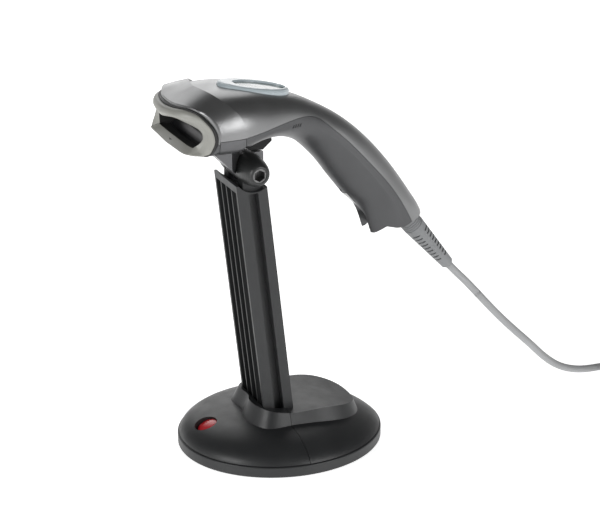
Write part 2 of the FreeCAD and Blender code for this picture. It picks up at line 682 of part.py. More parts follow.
def nose_bezel():
    """Light-coloured nose with the D-shaped scan port, rounded over at its upper lip."""
    lip = plan_prism(LIP_PLAN, 0.0, 190, LIP_HEIGHT).fuse(
        plan_prism(LIP_PLAN, 0.0, LIP_HEIGHT, 245, LIP_LEAN))
    gasket_front = plan_prism(NOSE_PLAN, GASKET_THICKNESS, 190, 245)
    body = body_loft(0.9, 0, 6).common(lip).cut(gasket_front)
    body = body.cut(under_jaw()).cut(scan_port())
    rim = body_loft(3.2, 0, 6).cut(body_loft(5.0, 0, 6))
    rim = rim.common(plan_prism(NOSE_PLAN, GASKET_THICKNESS, 190, 245))
    rim = rim.cut(plan_prism(NOSE_PLAN, -6.0, 190, 245))
    return largest_solid(fused([body, rim]))


def scan_port():
    """The opening: a straight lower edge, round ends and a slightly arched top."""
    low, high, mid = PORT_LOW, PORT_HIGH, PORT_LOW + 5.6
    half = PORT_HALF
    points = [(-half + 5.5, low), (half - 5.5, low), (half - 1.2, low + 2.2), (half, mid),
              (half - 1.4, high - 3.4), (half - 5.0, high - 0.9), (half - 12.0, high)]
    edges = [Part.LineSegment(V(-half + 5.5, -90, low), V(half - 5.5, -90, low)).toShape()]
    side = Part.BSplineCurve()
    side.interpolate([V(x, -90, z) for x, z in points[1:]])
    other = Part.BSplineCurve()
    other.interpolate([V(-x, -90, z) for x, z in reversed(points[1:])])
    top = Part.Arc(V(half - 12.0, -90, high), V(0, -90, high + 0.6), V(-half + 12.0, -90, high))
    edges.extend([side.toShape(), top.toShape(), other.toShape()])
    return Part.Face(Part.Wire(edges)).extrude(V(0, 60, 0))


def scan_window():
    inside = body_loft(5.0 + FIT, 0, 6)
    plate = inside.common(box(-45, 45, WINDOW_Y, WINDOW_Y + 1.5, 190, 240))
    return largest_solid(plate)


def vent_room():
    """Slanted sound slots on the left side of the lower shell."""
    slots = []
    for k in range(4):
        y = -0.6 + 1.7 * k
        slots.append(profile_x([(y, 211.2), (y + 0.7, 211.2), (y + 1.5, 213.6), (y + 0.8, 213.6)],
                               14, 40))
    return Part.makeCompound(slots)


# ---------------------------------------------------------------- trigger
def trigger():
    blade = profile_x([(TRIGGER_FRONT, 205.6), (TRIGGER_FRONT, 197.6), (-21.4, 196.2), (-12.8, 195.2),
                       (TRIGGER_REAR, 200.2), (-7.4, 202.8), (-9.0, TRIGGER_TOP), (-14.0, TRIGGER_TOP),
                       (TRIGGER_PIN_Y + 1.6, TRIGGER_PIN_Z + 1.6), (TRIGGER_PIN_Y - 1.6, TRIGGER_PIN_Z + 1.6),
                       (TRIGGER_PIN_Y - 1.6, 205.6)], -TRIGGER_HALF, TRIGGER_HALF)
    return blade.cut(cylinder_x(PIN_RADIUS + FIT, -20, 20, TRIGGER_PIN_Y, TRIGGER_PIN_Z))


def trigger_pin():
    return cylinder_x(PIN_RADIUS - 0.01, -EAR_FAR, EAR_FAR, TRIGGER_PIN_Y, TRIGGER_PIN_Z)


def helix_spring(centre, radius, wire, height, turns):
    coil = Part.makeHelix(height / turns, height, radius)
    section = Part.Wire(Part.makeCircle(wire, V(radius, 0, 0), Y_AXIS))
    spring = Part.Wire(coil).makePipeShell([section], True, True)
    spring.translate(centre)
    return spring


def trigger_spring():
    return helix_spring(V(-4.0, -12.2, TRIGGER_TOP + 0.3), 1.6, 0.25, 5.0, 4)


def trigger_switch():
    body = box(-0.6, 5.4, -12.4, -6.4, 209.6, SWITCH_BOARD_BOTTOM)
    plunger = cylinder_z(1.3, 208.5, 209.8, 2.4, -9.6)
    return fused([body, plunger])


# ---------------------------------------------------------------- inside the scanner
def switch_board():
    return box(-8.0, 8.0, -15.5, -4.0, SWITCH_BOARD_BOTTOM, SWITCH_BOARD_BOTTOM + 1.2)


def main_board():
    board = box(-20, 20, -46, -12, 223.6, 225.2)
    chips = [box(-8, 4, -30, -18, 225.2, 226.4), box(8, 15, -40, -33, 225.2, 226.6),
             box(-16, -10, -42, -36, 225.2, 227.0)]
    return fused([board] + chips)


def scan_chassis():
    """Open frame that carries the laser, the mirrors and the sensor."""
    frame = box(-17, 17, -50, -27, 206.9, 222.0)
    frame = frame.cut(box(-15, 15, -60, -29, 208.9, 230.0))
    frame = frame.cut(cylinder_z(MIRROR_PIN_RADIUS, 200, 212, MIRROR_X, MIRROR_Y))
    return frame


def laser_module():
    barrel = Part.makeCylinder(3.2, 11.0, V(LASER_X, -40.5, LASER_Z), Y_AXIS)
    flange = Part.makeCylinder(LASER_FLANGE_RADIUS, 1.6, V(LASER_X, -31.1, LASER_Z), Y_AXIS)
    return fused([barrel, flange])


def scan_mirror():
    """Oscillating mirror on a square foot with its magnet."""
    glass = box(-5.0, 5.0, -0.5, 0.5, 0.0, 8.0)
    hub = Part.makeCylinder(1.6, 8.0, V(0, 0, 0), Z_AXIS)
    body = fused([glass, hub]).cut(Part.makeCylinder(MIRROR_PIN_RADIUS + FIT, 9.0, V(0, 0, -0.5), Z_AXIS))
    body.Placement = FreeCAD.Placement(V(MIRROR_X, MIRROR_Y, 209.4), FreeCAD.Rotation(Z_AXIS, 40))
    return body


def mirror_pin():
    return cylinder_z(MIRROR_PIN_RADIUS - 0.01, 206.9, 218.6, MIRROR_X, MIRROR_Y)


def collecting_mirror():
    bowl = box(-13.5, 13.5, -33.6, -29.0, 209.4, 221.6)
    bowl = bowl.cut(Part.makeSphere(22.0, V(0, -53.6, 215.5)))
    laser_room = Part.makeCylinder(LASER_FLANGE_RADIUS + FIT, 14.0, V(LASER_X, -41.0, LASER_Z), Y_AXIS)
    return largest_solid(bowl.cut(laser_room))


def photo_sensor():
    body = box(2.4, 7.4, -46.4, -43.4, 209.0, 214.0)
    return fused([body, Part.makeCylinder(1.8, 0.8, V(4.9, -43.4, 211.5), Y_AXIS)])


def status_board():
    board = on_top(oval(11.5, 17.0, -5.2, -4.0))
    lights = [on_top(box(x - 1.2, x + 1.2, y - 1.2, y + 1.2, -4.0, -2.8)) for x, y in
              ((-7, -9), (0, -12), (7, -9), (-7, 9), (7, 9))]
    return fused([board] + lights)


def beeper():
    return Part.makeCylinder(5.6, 5.0, V(8.2, 3.4, 211.6), X_AXIS)


def handle_point(along, above):
    """A point in the handle: along its axis from the neck, and above that axis."""
    axis = V(0, 42.6, -45.4).normalize()
    up = V(0, 45.4, 42.6).normalize()
    return V(0, 27.0, 197.0) + axis * along + up * above


def decode_board():
    a, b = handle_point(-8, 2.0), handle_point(30, 2.0)
    c, d = handle_point(30, 3.6), handle_point(-8, 3.6)
    board = profile_x([(p.y, p.z) for p in (a, b, c, d)], -11, 11)
    e, f = handle_point(6, 3.6), handle_point(20, 3.6)
    g, h = handle_point(20, 5.0), handle_point(6, 5.0)
    chip = profile_x([(p.y, p.z) for p in (e, f, g, h)], -7, 7)
    return fused([board, chip])


def cable_socket():
    corners = [handle_point(39.6, -5.0), handle_point(48.8, -5.0), handle_point(48.8, 6.5), handle_point(39.6, 6.5)]
    return profile_x([(p.y, p.z) for p in corners], -6.6, 6.6)


def rating_label():
    """Blank label lying on the underside of the handle."""
    low, high = V(0, 43.2, 159.9), V(0, 50.2, 151.9)
    out = V(0, -0.75, -0.66).normalize()
    corners = [low, high, high + out * 1.6, low + out * 1.6]
    plate = profile_x([(p.y, p.z) for p in corners], -5.5, 5.5)
    skin = body_loft(-0.25, 12, len(STATIONS)).cut(body_loft(0.05, 12, len(STATIONS)))
    return largest_solid(plate.common(skin))


def shell_screws():
    screws = []
    for y, z in SHELL_SCREW_SPOTS:
        screws.append(fused([screw_rod((y, z), 0, 1.8, 2.4), screw_rod((y, z), 0, SHELL_SCREW_LENGTH, 1.2)]))
    return group(screws)


# ---------------------------------------------------------------- cable
def strain_relief():
    """Tapered boot: a ribbed collar, four rows of slots, a plain tip."""
    axis = BOOT_TIP - BOOT_ROOT
    length = axis.Length
    outline = [(0, BOOT_ROOT_RADIUS - 0.6), (6.0, BOOT_ROOT_RADIUS - 0.6), (6.0, BOOT_ROOT_RADIUS)]
    for k in range(4):
        s = 7.0 + 1.6 * k
        outline.extend([(s, BOOT_ROOT_RADIUS), (s + 0.2, BOOT_ROOT_RADIUS - 0.35),
                        (s + 0.6, BOOT_ROOT_RADIUS - 0.35), (s + 0.8, BOOT_ROOT_RADIUS)])
    outline.extend([(15.0, BOOT_ROOT_RADIUS - 0.2), (length - 0.8, BOOT_TIP_RADIUS),
                    (length, BOOT_TIP_RADIUS - 0.6), (length, 0), (0, 0)])
    corners = [V(r, 0, s) for s, r in outline]
    boot = Part.Face(Part.makePolygon(corners + corners[:1])).revolve(V(0, 0, 0), Z_AXIS, 360)
    for row in range(BOOT_ROWS):
        s = 18.0 + BOOT_PITCH * row
        radius = BOOT_ROOT_RADIUS + (BOOT_TIP_RADIUS - BOOT_ROOT_RADIUS) * (s - 15.0) / (length - 15.0)
        half = 0.42 * radius
        for quarter in range(4):
            slot = box(radius - 1.3, radius + 2, -half, half, s - 0.55, s + 0.55)
            slot.rotate(V(0, 0, 0), Z_AXIS, 45 + 90 * quarter)
            boot = boot.cut(slot)
    boot.Placement = FreeCAD.Placement(BOOT_ROOT, FreeCAD.Rotation(Z_AXIS, axis))
    return boot


def cord_tube(name, points):
    """A tube whose path is straight runs joined by tangent arcs."""
    points = [V(*point) for point in points]
    edges = []
    radii = []
    here = points[0]
    for before, corner, after in zip(points, points[1:], points[2:]):
        back = before - corner
        ahead = after - corner
        turn = math.pi - back.getAngle(ahead)
        shorter = min(back.Length, ahead.Length)
        reach = 0.45 * shorter
        radii.append(reach / math.tan(turn / 2))
        start = corner + V(back).normalize() * reach
        end = corner + V(ahead).normalize() * reach
        chord_middle = (start + end) * 0.5
        inward = (chord_middle - corner).normalize()
        to_centre = radii[-1] / math.cos(turn / 2)
        middle = corner + inward * (to_centre - radii[-1])
        edges.append(Part.LineSegment(here, start).toShape())
        edges.append(Part.Arc(start, middle, end).toShape())
        here = end
    edges.append(Part.LineSegment(here, points[-1]).toShape())
    path = Part.Wire(edges)
    section = Part.Wire(Part.makeCircle(CORD_RADIUS, points[0], points[1] - points[0]))
    tube = path.makePipeShell([section], True, True)
    expected = math.pi * CORD_RADIUS ** 2 * path.Length
    print(name, "length", round(path.Length, 1), "volume ratio", round(tube.Volume / expected, 4),
          "radii", [round(r) for r in radii])
    return tube


def cord_coil():
    ring = cylinder_z(COIL_RING + COIL_HALF_WIDTH, 0, COIL_HEIGHT, COIL_X, COIL_Y)
    ring = ring.cut(cylinder_z(COIL_RING - COIL_HALF_WIDTH, -1, COIL_HEIGHT + 1, COIL_X, COIL_Y))
    return ring.cut(cord_tie())


def cord_tie():
    """Strap round the coil's section, on the side away from the stand."""
    y_far = COIL_Y + COIL_RING
    half = COIL_HALF_WIDTH
    outer = box(COIL_X - 5, COIL_X + 5, y_far - half - 1.0, y_far + half + 1.0, 0, COIL_HEIGHT + 1.0)
    inner = box(COIL_X - 6, COIL_X + 6, y_far - half + 0.2, y_far + half - 0.2, 1.0, COIL_HEIGHT)
    return outer.cut(inner)


def usb_plug():
    start = V(*CORD_TAIL[-1])
    y = start.y
    x = start.x
    grip = box(x - 8.0, x + 8.0, y, y + 20.0, 0.0, 8.0)
    grip = grip.makeFillet(1.6, grip.Edges)
    metal = box(x - 6.0, x + 6.0, y + 19.0, y + 32.0, 1.75, 6.25)
    metal = metal.cut(box(x - 5.6, x + 5.6, y + 21.0, y + 33.0, 2.15, 5.85))
    tongue = box(x - 5.5, x + 5.5, y + 19.5, y + 31.0, 3.9, 5.8)
    return fused([grip, metal, tongue])


# ---------------------------------------------------------------- write the parts
def build():
    front_cover, rear_cover = base_covers()
    upper, lower = shells()
    bezel = largest_solid(nose_bezel().cut(upper).cut(lower))
    return {
        "base_pad": base_pad(),
        "base_plate": base_plate(),
        "base_weight": base_weight(),
        "base_cover_front": front_cover,
        "base_cover_rear": rear_cover,
        "base_screws": base_screws(),
        "badge": badge(),
        "post": post(),
        "pivot_cover_left": pivot_cover(),
        "pivot_cover_right": mirrored(pivot_cover()),
        "friction_washers": friction_washers(),
        "pivot_bolt": pivot_bolt(),
        "pivot_nut": pivot_nut(),
        "cradle": cradle(),
        "top_shell": upper,
        "bottom_shell": lower,
        "nose_gasket": nose_gasket(),
        "nose_bezel": bezel,
        "scan_window": largest_solid(scan_window().cut(bezel)),
        "light_ring": light_ring(),
        "ring_lens": ring_lens(),
        "trigger": trigger(),
        "trigger_pin": trigger_pin(),
        "trigger_spring": trigger_spring(),
        "trigger_switch": trigger_switch(),
        "switch_board": switch_board(),
        "main_board": main_board(),
        "scan_chassis": largest_solid(scan_chassis().cut(lower)),
        "laser_module": laser_module(),
        "scan_mirror": scan_mirror(),
        "mirror_pin": mirror_pin(),
        "collecting_mirror": collecting_mirror(),
        "photo_sensor": photo_sensor(),
        "status_board": status_board(),
        "beeper": beeper(),
        "decode_board": decode_board(),
        "cable_socket": cable_socket(),
        "rating_label": largest_solid(rating_label().cut(lower)),
        "shell_screws": shell_screws(),
        "strain_relief": strain_relief(),
        "cord_upper": cord_tube("cord_upper", CORD_UPPER),
        "cord_lower": cord_tube("cord_lower", CORD_LOWER),
        "cord_coil": cord_coil(),
        "cord_tail": cord_tube("cord_tail", CORD_TAIL),
        "cord_tie": cord_tie(),
        "usb_plug": usb_plug(),
    }


def write_parts():
    os.makedirs("parts", exist_ok=True)
    for name, shape in build().items():
        print(name, "valid", shape.isValid(), "solids", len(shape.Solids),
              "volume", round(shape.Volume, 1))
        shape.exportStep("parts/" + name + ".step")


write_parts()
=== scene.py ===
import bmesh
import bpy
import math
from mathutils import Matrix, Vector
from mathutils.bvhtree import BVHTree


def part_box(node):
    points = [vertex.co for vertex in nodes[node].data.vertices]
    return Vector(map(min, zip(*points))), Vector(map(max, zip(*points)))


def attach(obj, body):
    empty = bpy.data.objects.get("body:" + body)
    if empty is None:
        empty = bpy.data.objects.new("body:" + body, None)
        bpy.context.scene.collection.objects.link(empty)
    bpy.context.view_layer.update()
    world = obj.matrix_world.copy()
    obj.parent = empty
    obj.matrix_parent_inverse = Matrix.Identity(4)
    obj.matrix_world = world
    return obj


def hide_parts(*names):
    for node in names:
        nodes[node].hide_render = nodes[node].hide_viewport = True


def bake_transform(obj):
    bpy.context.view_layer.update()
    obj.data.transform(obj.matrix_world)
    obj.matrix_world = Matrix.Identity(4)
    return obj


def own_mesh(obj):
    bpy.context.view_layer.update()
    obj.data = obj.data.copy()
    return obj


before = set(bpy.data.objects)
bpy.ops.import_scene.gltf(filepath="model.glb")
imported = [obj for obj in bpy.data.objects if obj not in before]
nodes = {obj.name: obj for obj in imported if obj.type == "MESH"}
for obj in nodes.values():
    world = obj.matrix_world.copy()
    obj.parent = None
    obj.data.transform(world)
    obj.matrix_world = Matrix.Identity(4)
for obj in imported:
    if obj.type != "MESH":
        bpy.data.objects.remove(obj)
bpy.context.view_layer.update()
scene = bpy.context.scene
MM = 0.001


def mm(x, y, z):
    """A place given in millimetres."""
    return Vector((x * MM, y * MM, z * MM))


# ---------------------------------------------------------------- camera
CAMERA_AZIMUTH = math.radians(66.72)
CAMERA_ELEVATION = math.radians(20.33)
CAMERA_DISTANCE = 1.12193
CAMERA_TARGET = mm(0, 14.25, 121.18)
SENSOR_WIDTH, LENS_LENGTH = 36.0, 108.0


def make_camera():
    level = math.cos(CAMERA_ELEVATION)
    back = Vector((math.sin(CAMERA_AZIMUTH) * level, -math.cos(CAMERA_AZIMUTH) * level,
                   math.sin(CAMERA_ELEVATION)))
    data = bpy.data.cameras.new("camera")
    data.sensor_width = SENSOR_WIDTH
    data.lens = LENS_LENGTH
    data.clip_start = 0.05
    data.clip_end = 60.0
    camera = bpy.data.objects.new("camera", data)
    scene.collection.objects.link(camera)
    camera.location = CAMERA_TARGET + back * CAMERA_DISTANCE
    camera.rotation_mode = "QUATERNION"
    camera.rotation_quaternion = (-back).to_track_quat("-Z", "Y")
    scene.camera = camera


make_camera()
scene.view_settings.view_transform = "Standard"


# ---------------------------------------------------------------- materials
def new_material(name):
    """A material with one surface shader, its node tree and that shader."""
    made = bpy.data.materials.new(name)
    made.use_nodes = True
    tree = made.node_tree
    tree.nodes.clear()
    out = tree.nodes.new("ShaderNodeOutputMaterial")
    shader = tree.nodes.new("ShaderNodeBsdfPrincipled")
    tree.links.new(shader.outputs["BSDF"], out.inputs["Surface"])
    return made, tree, shader


def noise(tree, scale, detail=2.0, roughness=0.5):
    place = tree.nodes.new("ShaderNodeTexCoord")
    texture = tree.nodes.new("ShaderNodeTexNoise")
    texture.inputs["Scale"].default_value = scale
    texture.inputs["Detail"].default_value = detail
    texture.inputs["Roughness"].default_value = roughness
    tree.links.new(place.outputs["Object"], texture.inputs["Vector"])
    return texture.outputs["Fac"]


def spread(tree, value, low, high, from_low=0.3, from_high=0.7):
    """Stretch the part of a value from from_low to from_high over the range low to high."""
    node = tree.nodes.new("ShaderNodeMapRange")
    node.inputs["From Min"].default_value = from_low
    node.inputs["From Max"].default_value = from_high
    node.inputs["To Min"].default_value = low
    node.inputs["To Max"].default_value = high
    tree.links.new(value, node.inputs["Value"])
    return node.outputs["Result"]


def between(tree, value, colour_a, colour_b):
    """Mix two colours by a value."""
    node = tree.nodes.new("ShaderNodeMix")
    node.data_type = "RGBA"
    node.inputs[6].default_value = (*colour_a, 1)
    node.inputs[7].default_value = (*colour_b, 1)
    tree.links.new(value, node.inputs[0])
    return node.outputs[2]


def bump(tree, shader, layers):
    """Stack bumps: each layer is (height output, distance in metres, strength)."""
    normal = None
    for height, distance, strength in layers:
        node = tree.nodes.new("ShaderNodeBump")
        node.inputs["Distance"].default_value = distance
        node.inputs["Strength"].default_value = strength
        tree.links.new(height, node.inputs["Height"])
        if normal is not None:
            tree.links.new(normal, node.inputs["Normal"])
        normal = node.outputs["Normal"]
    tree.links.new(normal, shader.inputs["Normal"])


def plastic(name, colour, roughness, grain=2400.0, depth=0.00002, metallic=0.0, mottling=0.06,
            coat=0.0):
    """Moulded plastic: fine grain, faint handling marks in the gloss, slight colour variation."""
    made, tree, shader = new_material(name)
    light = tuple(min(1.0, c * (1 + mottling)) for c in colour)
    dark = tuple(c * (1 - mottling) for c in colour)
    tree.links.new(between(tree, spread(tree, noise(tree, 35.0, 4.0), 0, 1), dark, light),
                   shader.inputs["Base Color"])
    tree.links.new(spread(tree, noise(tree, 90.0, 5.0, 0.6), roughness * 0.88, roughness * 1.12),
                   shader.inputs["Roughness"])
    shader.inputs["Metallic"].default_value = metallic
    shader.inputs["Coat Weight"].default_value = coat
    shader.inputs["Coat Roughness"].default_value = 0.25
    bump(tree, shader, [(noise(tree, grain, 2.0), depth, 0.5),
                        (noise(tree, 160.0, 2.0), 0.00003, 0.25)])
    return made


def rubber(name, colour, roughness=0.75, grain=1500.0):
    """Matt rubber: coarse grain, dusty patches and a soft sheen."""
    made, tree, shader = new_material(name)
    dust = tuple(c * 1.35 + 0.004 for c in colour)
    tree.links.new(between(tree, spread(tree, noise(tree, 28.0, 5.0, 0.6), 0, 1), colour, dust),
                   shader.inputs["Base Color"])
    tree.links.new(spread(tree, noise(tree, 60.0, 4.0), roughness - 0.08, roughness + 0.1),
                   shader.inputs["Roughness"])
    shader.inputs["Sheen Weight"].default_value = 0.15
    bump(tree, shader, [(noise(tree, grain, 2.0), 0.00004, 0.6)])
    return made


def metal(name, colour, roughness, brushed=0.0):
    """Turned or plated metal with fine scratches."""
    made, tree, shader = new_material(name)
    shader.inputs["Metallic"].default_value = 1.0
    dull = tuple(c * 0.82 for c in colour)
    tree.links.new(between(tree, spread(tree, noise(tree, 260.0, 5.0, 0.65), 0, 1), colour, dull),
                   shader.inputs["Base Color"])
    tree.links.new(spread(tree, noise(tree, 700.0, 4.0, 0.6), roughness * 0.7, roughness * 1.4),
                   shader.inputs["Roughness"])
    shader.inputs["Anisotropic"].default_value = brushed
    bump(tree, shader, [(noise(tree, 1900.0, 3.0), 0.000012, 0.4)])
    return made


def clear(name, colour, roughness, transmission, ior=1.5, coat=0.0):
    """Glass or clear plastic with faint smears."""
    made, tree, shader = new_material(name)
    shader.inputs["Base Color"].default_value = (*colour, 1)
    shader.inputs["Transmission Weight"].default_value = transmission
    shader.inputs["IOR"].default_value = ior
    shader.inputs["Coat Weight"].default_value = coat
    tree.links.new(spread(tree, noise(tree, 55.0, 5.0, 0.6), roughness * 0.6, roughness * 1.5),
                   shader.inputs["Roughness"])
    bump(tree, shader, [(noise(tree, 120.0, 2.0), 0.00002, 0.15)])
    return made


def circuit(name, colour):
    """Solder mask with tracks under it, drawn by a brick pattern's joints."""
    made, tree, shader = new_material(name)
    place = tree.nodes.new("ShaderNodeTexCoord")
    tracks = tree.nodes.new("ShaderNodeTexBrick")
    tracks.inputs["Scale"].default_value = 190.0
    tracks.inputs["Mortar Size"].default_value = 0.06
    tracks.inputs["Color1"].default_value = (*colour, 1)
    tracks.inputs["Color2"].default_value = (*(c * 0.8 for c in colour), 1)
    tracks.inputs["Mortar"].default_value = (*(c * 2.1 for c in colour), 1)
    tree.links.new(place.outputs["Object"], tracks.inputs["Vector"])
    tree.links.new(tracks.outputs["Color"], shader.inputs["Base Color"])
    tree.links.new(spread(tree, noise(tree, 300.0, 3.0), 0.28, 0.5), shader.inputs["Roughness"])
    bump(tree, shader, [(tracks.outputs["Fac"], 0.00004, 0.4)])
    return made


graphite = plastic("graphite_paint", (0.230, 0.232, 0.234), 0.34, 3200.0, 0.000012, 0.82, 0.05, 0.1)
charcoal = plastic("charcoal_plastic", (0.085, 0.086, 0.089), 0.36, 2600.0, 0.000015, 0.5, 0.05)
cradle_paint = plastic("cradle_paint", (0.115, 0.116, 0.120),
                       0.34, 3000.0, 0.000012, 0.75, 0.05, 0.1)
stand_black = plastic("stand_plastic", (0.018, 0.019, 0.020), 0.44, 2000.0, 0.00003, 0.0, 0.08)
dome_black = plastic("textured_plastic", (0.022, 0.023, 0.023), 0.42, 900.0, 0.00010, 0.0, 0.12)
nose_grey = plastic("nose_plastic", (0.30, 0.30, 0.275), 0.42, 2400.0, 0.000012, 0.0, 0.04, 0.1)
gasket_black = rubber("gasket_rubber", (0.006, 0.006, 0.006), 0.5)
pad_black = rubber("pad_rubber", (0.012, 0.012, 0.012))
boot_grey = rubber("boot_rubber", (0.19, 0.195, 0.20), 0.55, 2200.0)
jacket_grey = plastic("cable_jacket", (0.34, 0.345, 0.35), 0.42, 3000.0, 0.00002)
trigger_black = plastic("trigger_plastic", (0.012, 0.012, 0.013), 0.40, 2200.0, 0.00002, 0.0, 0.05)
trigger_black.node_tree.nodes["Principled BSDF"].inputs["Specular IOR Level"].default_value = 0.2
badge_red = plastic("badge_red", (0.55, 0.008, 0.016), 0.24, 2600.0, 0.000006, 0.0, 0.04, 0.5)
ring_pale = plastic("ring_plastic", (0.50, 0.57, 0.60), 0.26, 2600.0, 0.000008, 0.0, 0.03, 0.4)
lens_green = clear("lens_plastic", (0.20, 0.25, 0.245), 0.20, 0.25, 1.49, 0.3)
tunnel_black = plastic("tunnel_plastic", (0.006, 0.006, 0.006), 0.6)
window_dark = plastic("window_glass", (0.004, 0.004, 0.005), 0.30, 2600.0, 0.000004, 0.0, 0.05)
bright_steel = metal("bright_steel", (0.66, 0.66, 0.65), 0.26, 0.3)
dark_steel = metal("dark_steel", (0.20, 0.20, 0.20), 0.42)
iron_grey = metal("weight_iron", (0.16, 0.155, 0.15), 0.62)
brass = metal("laser_brass", (0.72, 0.53, 0.24), 0.3, 0.3)
mirror_silver = metal("mirror_glass", (0.86, 0.88, 0.90), 0.05)
nylon_white = plastic("nylon", (0.62, 0.60, 0.55), 0.42)
board_green = circuit("board", (0.012, 0.085, 0.035))
chassis_black = plastic("chassis_plastic", (0.020, 0.020, 0.021), 0.55)
label_silver = plastic("label_film", (0.52, 0.52, 0.52), 0.34, 2600.0, 0.000005, 0.3)
plug_black = plastic("plug_plastic", (0.020, 0.020, 0.022), 0.45, 2000.0, 0.00003)
tie_black = rubber("tie_rubber", (0.012, 0.012, 0.013), 0.6)

FINISHES = {
    stand_black: ["base_cover_front", "base_cover_rear", "post", "base_plate"],
    graphite: ["top_shell"],
    cradle_paint: ["cradle"],
    charcoal: ["bottom_shell"],
    dome_black: ["pivot_cover_left", "pivot_cover_right"],
    nose_grey: ["nose_bezel"],
    gasket_black: ["nose_gasket"],
    pad_black: ["base_pad"],
    boot_grey: ["strain_relief"],
    trigger_black: ["trigger", "trigger_switch", "beeper"],
    badge_red: ["badge"],
    ring_pale: ["light_ring"],
    lens_green: ["ring_lens"],
    window_dark: ["scan_window", "photo_sensor"],
    dark_steel: ["pivot_bolt", "pivot_nut"],
    bright_steel: ["base_screws", "shell_screws", "trigger_pin", "trigger_spring", "mirror_pin"],
    iron_grey: ["base_weight"],
    brass: ["laser_module"],
    mirror_silver: ["scan_mirror", "collecting_mirror"],
    nylon_white: ["friction_washers", "cable_socket"],
    board_green: ["main_board", "decode_board", "status_board", "switch_board"],
    chassis_black: ["scan_chassis"],
    label_silver: ["rating_label"],
    plug_black: ["usb_plug"],
    tie_black: ["cord_tie"],
}


def finish_nodes():
    for material, names in FINISHES.items():
        for name in names:
            node = nodes[name]
            node.data.materials.clear()
            node.data.materials.append(material)


finish_nodes()


def new_object(name, vertices, faces, material):
    """A smooth-shaded mesh object in the scene."""
    mesh = bpy.data.meshes.new(name)
    mesh.from_pydata(vertices, [], faces)
    mesh.validate()
    mesh.shade_smooth()
    mesh.materials.append(material)
    made = bpy.data.objects.new(name, mesh)
    scene.collection.objects.link(made)
    return made


# ---------------------------------------------------------------- cables
CORD_RADIUS = 0.0025
CORD_DIAMETER = 2 * CORD_RADIUS
COIL_CENTRE = (0.030, 0.278)
COIL_OUTER = 0.0375
TURNS_PER_LAYER = 5
POINTS_PER_TURN = 16
CLIMB_FROM = 0.75              # the share of a turn after which it moves on to the next one
UPPER_ROUTE = [
    (0.0, 0.1184, 0.1007), (0.0, 0.1256, 0.0929), (0.0001, 0.1332, 0.0853),
    (0.0002, 0.1402, 0.0774),
]
LOWER_ROUTE = [
    (0.0002, 0.1402, 0.0774), (0.00033, 0.1493, 0.06713), (0.0002, 0.1600, 0.0556),
    (-0.0003, 0.1716, 0.0442), (-0.0012, 0.1840, 0.0326), (-0.0026, 0.1964, 0.0200),
    (-0.0044, 0.2106, 0.0094), (-0.0058, 0.2274, 0.0036), (-0.0068, 0.2456, 0.0025),
    (-0.0074, 0.2620, 0.0025), (-0.0075, 0.2780, 0.0025),
]
TAIL_ROUTE = [
    (-0.0075, 0.2780, 0.0075), (-0.0075, 0.2880, 0.0074), (-0.0084, 0.2990, 0.0056),
    (-0.0106, 0.3100, 0.0040), (-0.0106, 0.3200, 0.0040),
]


def coil_route():
    """Two layers of turns: inwards on the floor, up at the innermost turn, and out again on top."""
    points = []
    swell = 1 / math.cos(math.pi / POINTS_PER_TURN)
    total = 2 * TURNS_PER_LAYER * POINTS_PER_TURN
    for step in range(1, total):
        turn, along = divmod(step, POINTS_PER_TURN)
        angle = math.pi - 2 * math.pi * along / POINTS_PER_TURN
        late = max(0.0, along / POINTS_PER_TURN - CLIMB_FROM) / (1 - CLIMB_FROM) * math.pi / 2
        height = CORD_RADIUS
        if turn < TURNS_PER_LAYER - 1:
            radius = COIL_OUTER - CORD_DIAMETER * (turn + 1 - math.cos(late))
        elif turn == TURNS_PER_LAYER - 1:
            radius = COIL_OUTER - CORD_DIAMETER * turn
            height += CORD_DIAMETER * (1 - math.cos(late))
        else:
            out = turn - TURNS_PER_LAYER
            radius = COIL_OUTER - CORD_DIAMETER * (TURNS_PER_LAYER - 1 - out)
            if out < TURNS_PER_LAYER - 1:
                radius += CORD_DIAMETER * math.sin(late)
            height += CORD_DIAMETER
        points.append((COIL_CENTRE[0] + radius * swell * math.cos(angle),
                       COIL_CENTRE[1] + radius * swell * math.sin(angle), height))
    return points


def spline_line(name, route, steps=8):
    """The points of the smooth line that has the route's points as control points."""
    data = bpy.data.curves.new(name, "CURVE")
    data.dimensions = "3D"
    spline = data.splines.new("NURBS")
    spline.points.add(len(route) - 1)
    for point, place in zip(spline.points, route):
        point.co = (*place, 1)
    spline.order_u = 3
    spline.use_endpoint_u = True
    spline.resolution_u = steps
    carrier = bpy.data.objects.new(name, data)
    scene.collection.objects.link(carrier)
    bpy.context.view_layer.update()
    evaluated = carrier.evaluated_get(bpy.context.evaluated_depsgraph_get())
    mesh = bpy.data.meshes.new_from_object(evaluated)
    line = [vertex.co.copy() for vertex in mesh.vertices]
    bpy.data.objects.remove(carrier)
    bpy.data.curves.remove(data)
    bpy.data.meshes.remove(mesh)
    return line


def tube(name, line, radius, material, sides=20):
    """A closed round tube along a line, its ends capped."""
    vertices, faces = [], []
    side = (line[1] - line[0]).normalized().orthogonal().normalized()
    for i, place in enumerate(line):
        ahead = line[min(i + 1, len(line) - 1)] - line[max(i - 1, 0)]
        ahead.normalize()
        side = (side - ahead * side.dot(ahead)).normalized()
        other = ahead.cross(side)
        for k in range(sides):
            angle = 2 * math.pi * k / sides
            vertices.append(place + (side * math.cos(angle) + other * math.sin(angle)) * radius)
    for i in range(len(line) - 1):
        for k in range(sides):
            a, b = i * sides + k, i * sides + (k + 1) % sides
            faces.append((a, b, b + sides, a + sides))
    faces.append(tuple(reversed(range(sides))))
    faces.append(tuple(range((len(line) - 1) * sides, len(line) * sides)))
    return new_object(name, vertices, faces, material)


